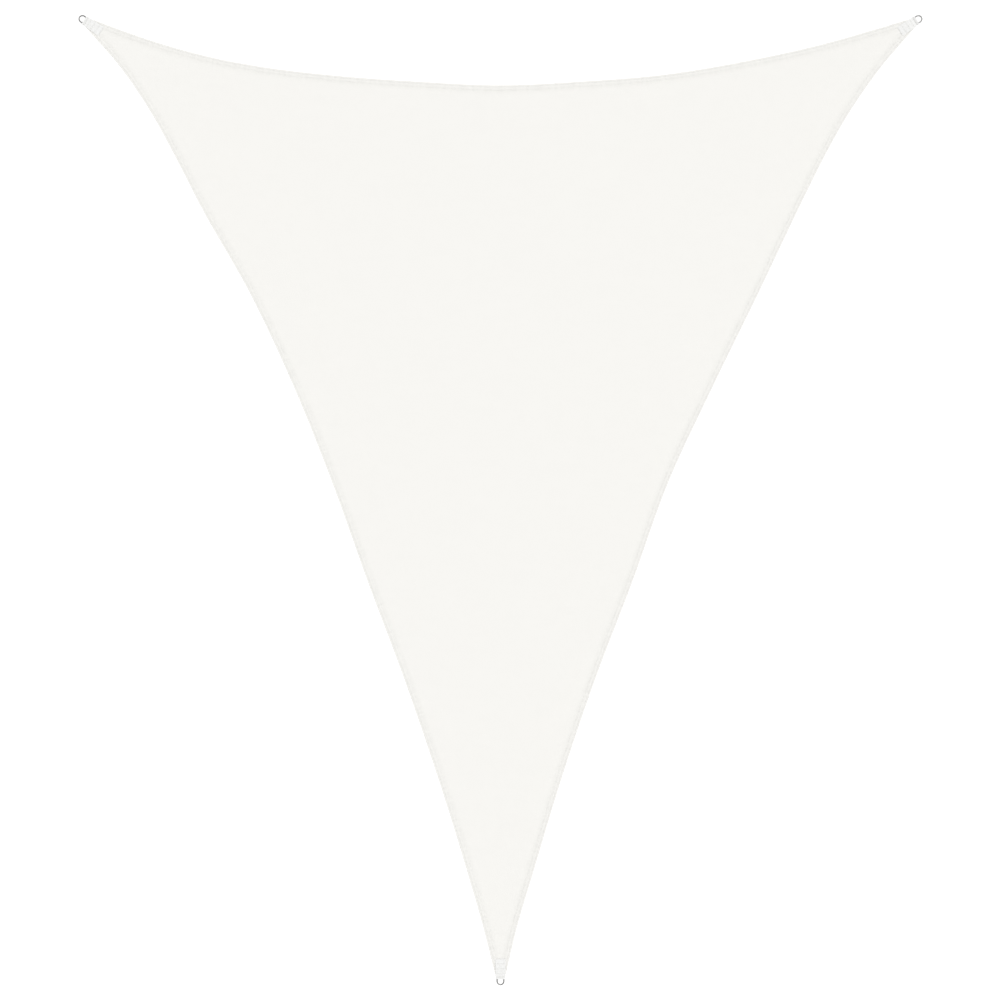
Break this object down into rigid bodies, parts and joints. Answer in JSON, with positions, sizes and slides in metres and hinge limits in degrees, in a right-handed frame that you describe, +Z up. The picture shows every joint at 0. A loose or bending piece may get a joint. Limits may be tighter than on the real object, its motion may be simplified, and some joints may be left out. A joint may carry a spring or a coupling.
{
  "type": "shade sail",
  "caption": "Long triangular shade sail of white knitted cloth with curved hemmed sides, lying flat, with a steel D-ring on a webbing loop at each corner.",
  "frame": {"origin": "on the surface that the sail lies on, at the middle of its bounding box", "axes": "+Z up out of the cloth's upper face, +X along the short top side from the left corner to the right one, +Y from the long bottom corner towards the top side"},
  "size_m": [3.9962, 4.5938, 0.0091],
  "materials": {
    "cloth": "white knitted polyethylene shade cloth, matt",
    "webbing": "white woven webbing with a slight sheen",
    "steel": "bright drawn stainless wire"
  },
  "bodies": {
    "root": {"sail": "cloth", "webbing_left": "webbing", "webbing_right": "webbing", "webbing_bottom": "webbing", "ring_left": "steel", "ring_right": "steel", "ring_bottom": "steel"}
  },
  "joints": []
}
